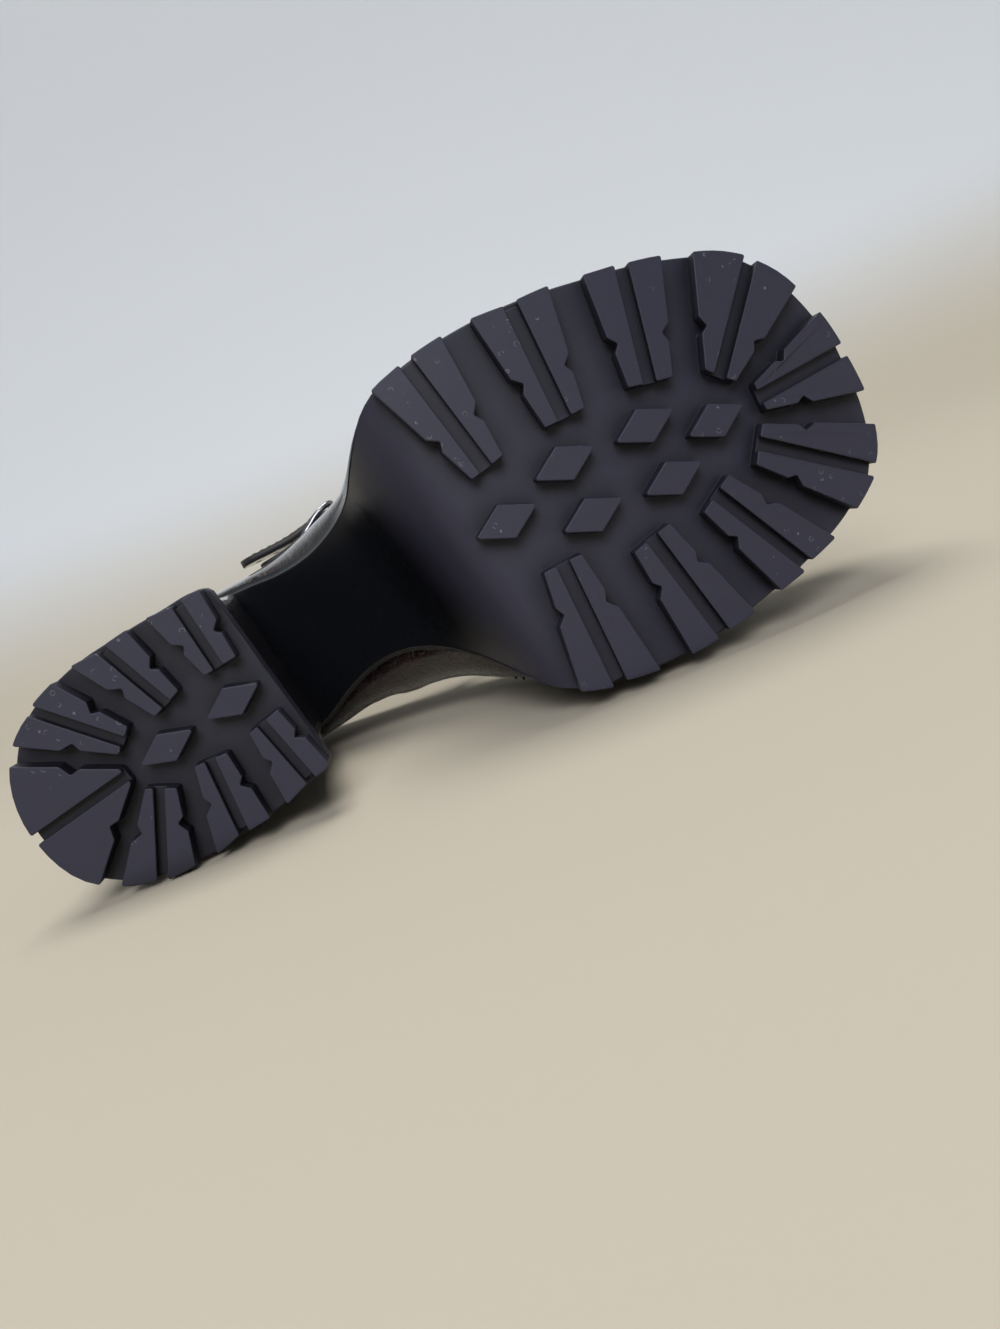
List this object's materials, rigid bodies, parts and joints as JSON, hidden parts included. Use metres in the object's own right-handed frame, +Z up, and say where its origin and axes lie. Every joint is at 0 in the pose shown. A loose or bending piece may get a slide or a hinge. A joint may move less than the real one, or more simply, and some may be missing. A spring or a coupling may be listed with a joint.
{
  "type": "platform mary jane",
  "caption": "High-heeled platform mary jane in dark patent with a lugged black rubber sole and buckled instep strap, lying on its side.",
  "frame": {"origin": "middle of the footprint of the shoe as it lies on its medial side, on the floor", "axes": "+X towards the toe, +Y towards the opening, away from the tread, +Z up, towards the shoe's lateral side"},
  "size_m": [0.2476, 0.1492, 0.1064],
  "materials": {
    "black_rubber": "matte moulded rubber",
    "heel_rubber": "matte moulded rubber",
    "heel_patent": "crinkled glossy patent",
    "patent": "crinkled glossy patent",
    "strap_patent": "glossy patent with matte edges",
    "lining": "smooth matte lining",
    "metal": "polished nickel plate"
  },
  "bodies": {
    "root": {"outsole": "black_rubber", "heel_lift": "heel_rubber", "heel_block": "heel_patent", "upper": "patent", "insole": "lining", "strap": "strap_patent", "buckle_tab": "strap_patent", "buckle_frame": "metal", "buckle_prong": "metal"}
  },
  "joints": []
}
